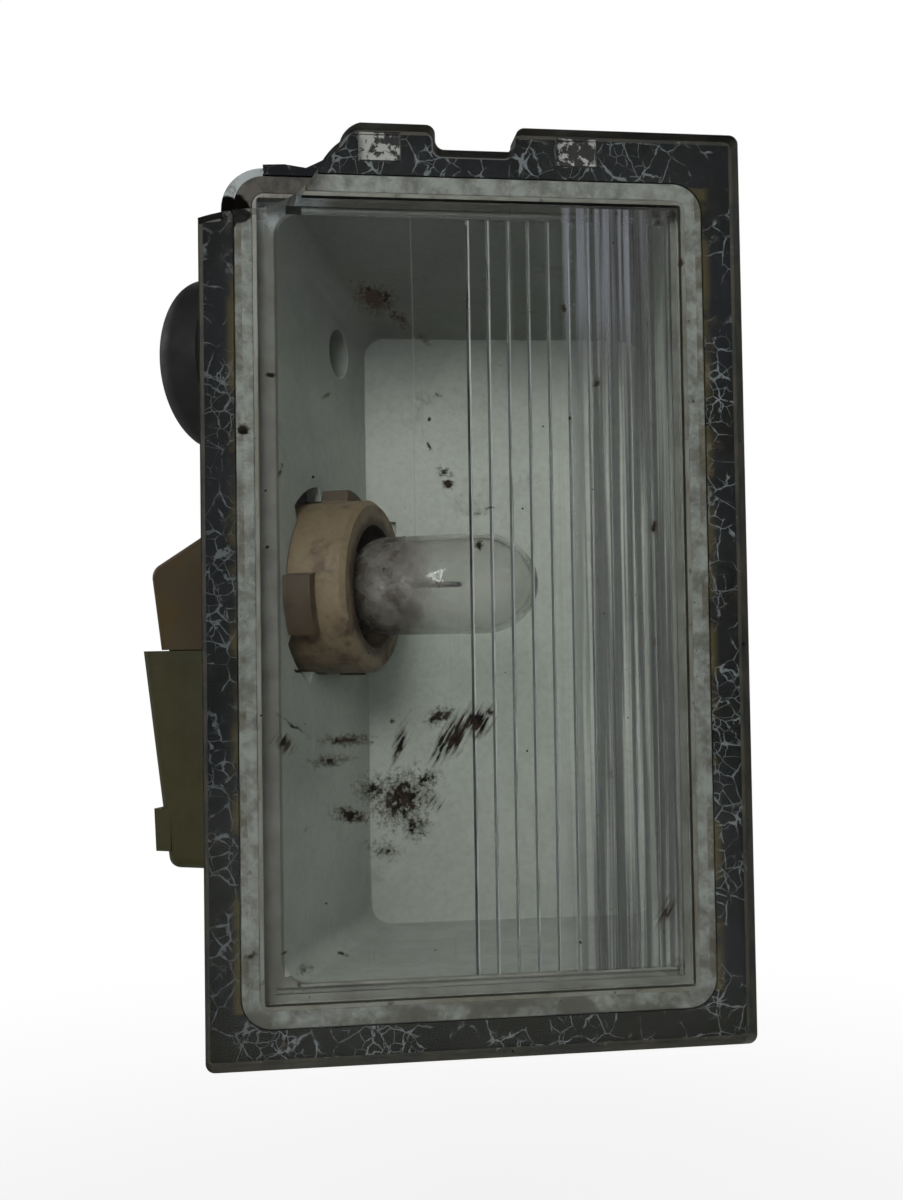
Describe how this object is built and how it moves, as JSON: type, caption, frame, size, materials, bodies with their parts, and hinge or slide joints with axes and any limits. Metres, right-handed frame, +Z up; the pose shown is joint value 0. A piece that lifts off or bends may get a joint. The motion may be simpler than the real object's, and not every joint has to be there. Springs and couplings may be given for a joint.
{
  "type": "tail light",
  "caption": "Rectangular clear-lens tail and number-plate lamp with a wedge bulb in a twist-out side holder, vent cap, seal and snap clip.",
  "frame": {"origin": "middle of the plane where the seal's rear face meets the vehicle's panel", "axes": "+X to the right seen from in front of the lens, +Y into the panel, away from the viewer, +Z up along the lamp's long side; the clip is at the +Z end"},
  "size_m": [0.06, 0.0364, 0.0896],
  "materials": {
    "clear_acrylic": "clear, polished, scratched",
    "seal_rubber": "matt, with a crackled adhesive skin",
    "glue": "yellowed, translucent",
    "housing_plastic": "moulded, satin",
    "spring_steel": "bright, lightly rusted",
    "pin_steel": "drawn",
    "cap_rubber": "matt",
    "filter_foam": "open-cell foam",
    "holder_nylon": "moulded, heat-browned",
    "holder_rubber": "matt",
    "contact_brass": "stamped, tarnished",
    "shell_nylon": "moulded, satin",
    "lock_nylon": "moulded, satin",
    "socket_rubber": "silicone, matt",
    "bulb_glass": "clear, blown",
    "lead_metal": "drawn wire",
    "tungsten": "coiled wire",
    "bead_glass": "fused, milky"
  },
  "bodies": {
    "lamp_body": {"lens": "clear_acrylic", "seal_gasket": "seal_rubber", "bond_bead": "glue", "housing": "housing_plastic", "clip_pin": "pin_steel", "vent_filter": "filter_foam"},
    "holder": {"bulb_holder": "holder_nylon", "holder_seal": "holder_rubber", "contact_upper": "contact_brass", "contact_lower": "contact_brass", "connector_shell": "shell_nylon", "terminal_lock": "lock_nylon", "socket_seal": "socket_rubber"},
    "bulb": {"bulb_glass": "bulb_glass", "lead_wire_upper": "lead_metal", "lead_wire_lower": "lead_metal", "filament": "tungsten", "filament_bead": "bead_glass"},
    "breather": {"vent_cap": "cap_rubber"},
    "clip": {"spring_clip": "spring_steel"}
  },
  "joints": [
    {"name": "holder_twist", "type": "hinge", "parent": "lamp_body", "child": "holder", "pos_m": [-0.01465, 0.01089, 0.0007], "axis": [0.9063, -0.4226, 0], "range_deg": [0, 40]},
    {"name": "bulb_pull", "type": "slide", "parent": "holder", "child": "bulb", "axis": [0.9063, -0.4226, 0], "range_m": [0, 0.001]},
    {"name": "vent_cap_pull", "type": "slide", "parent": "lamp_body", "child": "breather", "axis": [-0.9063, 0.4226, 0], "range_m": [0, 0.0095]},
    {"name": "clip_flex", "type": "hinge", "parent": "lamp_body", "child": "clip", "pos_m": [0.0001, 0.0162, 0.03735], "axis": [1, 0, 0], "range_deg": [0, 10], "stiffness_Nm_per_rad": 0.5}
  ]
}
